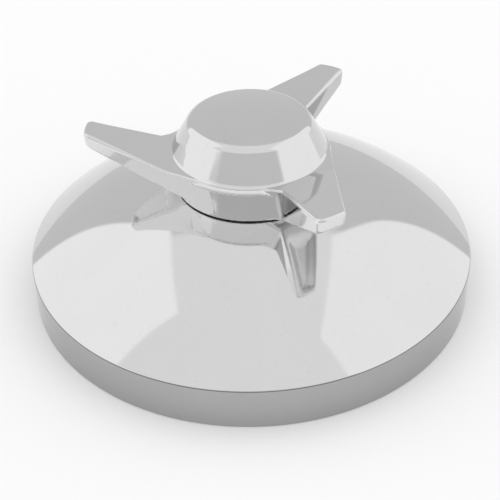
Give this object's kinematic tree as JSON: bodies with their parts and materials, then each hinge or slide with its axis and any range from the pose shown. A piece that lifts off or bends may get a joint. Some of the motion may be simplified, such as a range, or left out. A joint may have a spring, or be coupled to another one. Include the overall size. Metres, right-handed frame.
{
  "type": "spinner hubcap",
  "caption": "Chrome hubcap for a steel wheel: a shallow domed shell with a straight skirt and a cast, swept-wing spinner bolted to its centre from behind.",
  "frame": {"origin": "centre of the skirt's foot plane, on the cap's axis", "axes": "+Z along the cap's axis, outwards from the wheel through the spinner's crown; one wing points along -X"},
  "size_m": [0.2176, 0.2176, 0.0916],
  "materials": {
    "shell_chrome": "polished",
    "spinner_chrome": "polished",
    "gasket_rubber": "matte",
    "stud_steel": "zinc plated",
    "washer_steel": "zinc plated",
    "lock_steel": "oiled spring steel",
    "nut_steel": "zinc plated"
  },
  "bodies": {
    "root": {"cap_shell": "shell_chrome", "spinner": "spinner_chrome", "seat_gasket": "gasket_rubber", "stud_1": "stud_steel", "flat_washer_1": "washer_steel", "lock_washer_1": "lock_steel", "hex_nut_1": "nut_steel", "stud_2": "stud_steel", "flat_washer_2": "washer_steel", "lock_washer_2": "lock_steel", "hex_nut_2": "nut_steel", "stud_3": "stud_steel", "flat_washer_3": "washer_steel", "lock_washer_3": "lock_steel", "hex_nut_3": "nut_steel"}
  },
  "joints": []
}
